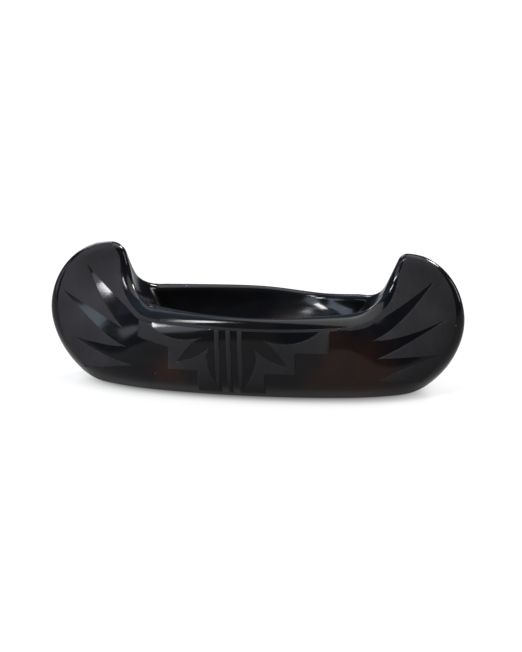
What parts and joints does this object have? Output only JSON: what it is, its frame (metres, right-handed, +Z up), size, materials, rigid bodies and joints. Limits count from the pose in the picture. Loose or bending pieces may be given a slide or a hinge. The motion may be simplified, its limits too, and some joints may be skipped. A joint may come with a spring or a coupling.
{
  "type": "canoe bowl",
  "caption": "Coil-built burnished blackware bowl in the shape of a canoe, with raised prows, a round rim, a flat resting face and matte slip feathers, leaves and steps",
  "frame": {"origin": "on the floor, under the middle of the resting face and of the overall box", "axes": "+X along the length to the stern, +Y to starboard (the far side in the picture), +Z up"},
  "size_m": [0.2393, 0.0906, 0.081],
  "materials": {
    "burnished_clay": "stone-burnished black slip, glossy",
    "matte_slip": "matte fired slip"
  },
  "bodies": {
    "root": {"floor_slab": "burnished_clay", "bow_end": "burnished_clay", "stern_end": "burnished_clay", "port_coil_1": "burnished_clay", "port_coil_2": "burnished_clay", "port_coil_3": "burnished_clay", "port_coil_4": "burnished_clay", "starboard_coil_1": "burnished_clay", "starboard_coil_2": "burnished_clay", "starboard_coil_3": "burnished_clay", "starboard_coil_4": "burnished_clay", "port_rim": "burnished_clay", "starboard_rim": "burnished_clay", "port_bow_feathers": "matte_slip", "port_stern_feathers": "matte_slip", "port_bow_leaves": "matte_slip", "port_stern_leaves": "matte_slip", "port_bars": "matte_slip", "port_rim_band": "matte_slip", "starboard_bow_feathers": "matte_slip", "starboard_stern_feathers": "matte_slip", "starboard_bow_leaves": "matte_slip", "starboard_stern_leaves": "matte_slip", "starboard_bars": "matte_slip", "starboard_rim_band": "matte_slip"}
  },
  "joints": []
}
